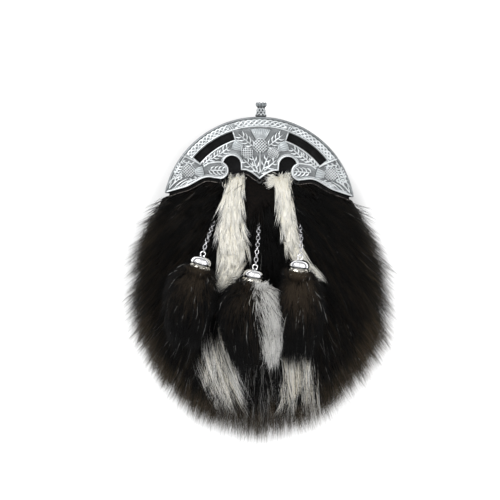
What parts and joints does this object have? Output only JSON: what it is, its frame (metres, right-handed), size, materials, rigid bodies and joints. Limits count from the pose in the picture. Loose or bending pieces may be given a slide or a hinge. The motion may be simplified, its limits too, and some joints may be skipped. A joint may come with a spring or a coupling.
{
  "type": "sporran pouch",
  "caption": "Full-dress sporran pouch: open-topped leather pocket with a long-haired fur front, a pierced cast cantle and fur tassels hung on chains from metal caps",
  "frame": {"origin": "on the centre line of the back panel's flat outer face, the face the pouch lies on", "axes": "+X to the right of the front view, +Y up towards the finial, +Z out of the front"},
  "size_m": [0.2062, 0.2633, 0.0595],
  "materials": {
    "black_leather": "smooth black leather with a fine grain and raw brown edges",
    "steel_ring": "plain nickelled steel wire",
    "black_fur": "long glossy black guard hair over a dark brown undercoat",
    "white_fur": "long creamy white hair",
    "antique_pewter": "cast white metal, bright on the raised work and dark in the recesses",
    "bright_chain": "bright plated wire links",
    "chrome_cap": "polished plated bell",
    "tassel_fur": "dense dark brown and black fur, partly grey-white on the middle tassel"
  },
  "bodies": {
    "root": {"back_panel": "black_leather", "gusset": "black_leather", "front_panel": "black_leather", "cantle_backing": "black_leather", "strap_tab_left": "black_leather", "strap_tab_right": "black_leather", "strap_ring_left": "steel_ring", "strap_ring_right": "steel_ring", "fur_pelt": "black_fur", "white_strip_left": "white_fur", "white_strip_right": "white_fur", "cantle": "antique_pewter", "thistle_finial": "antique_pewter", "tassel_chain_left": "bright_chain", "tassel_chain_middle": "bright_chain", "tassel_chain_right": "bright_chain", "tassel_cap_left": "chrome_cap", "tassel_cap_middle": "chrome_cap", "tassel_cap_right": "chrome_cap", "tassel_fur_left": "tassel_fur", "tassel_fur_middle": "tassel_fur", "tassel_fur_right": "tassel_fur"}
  },
  "joints": []
}
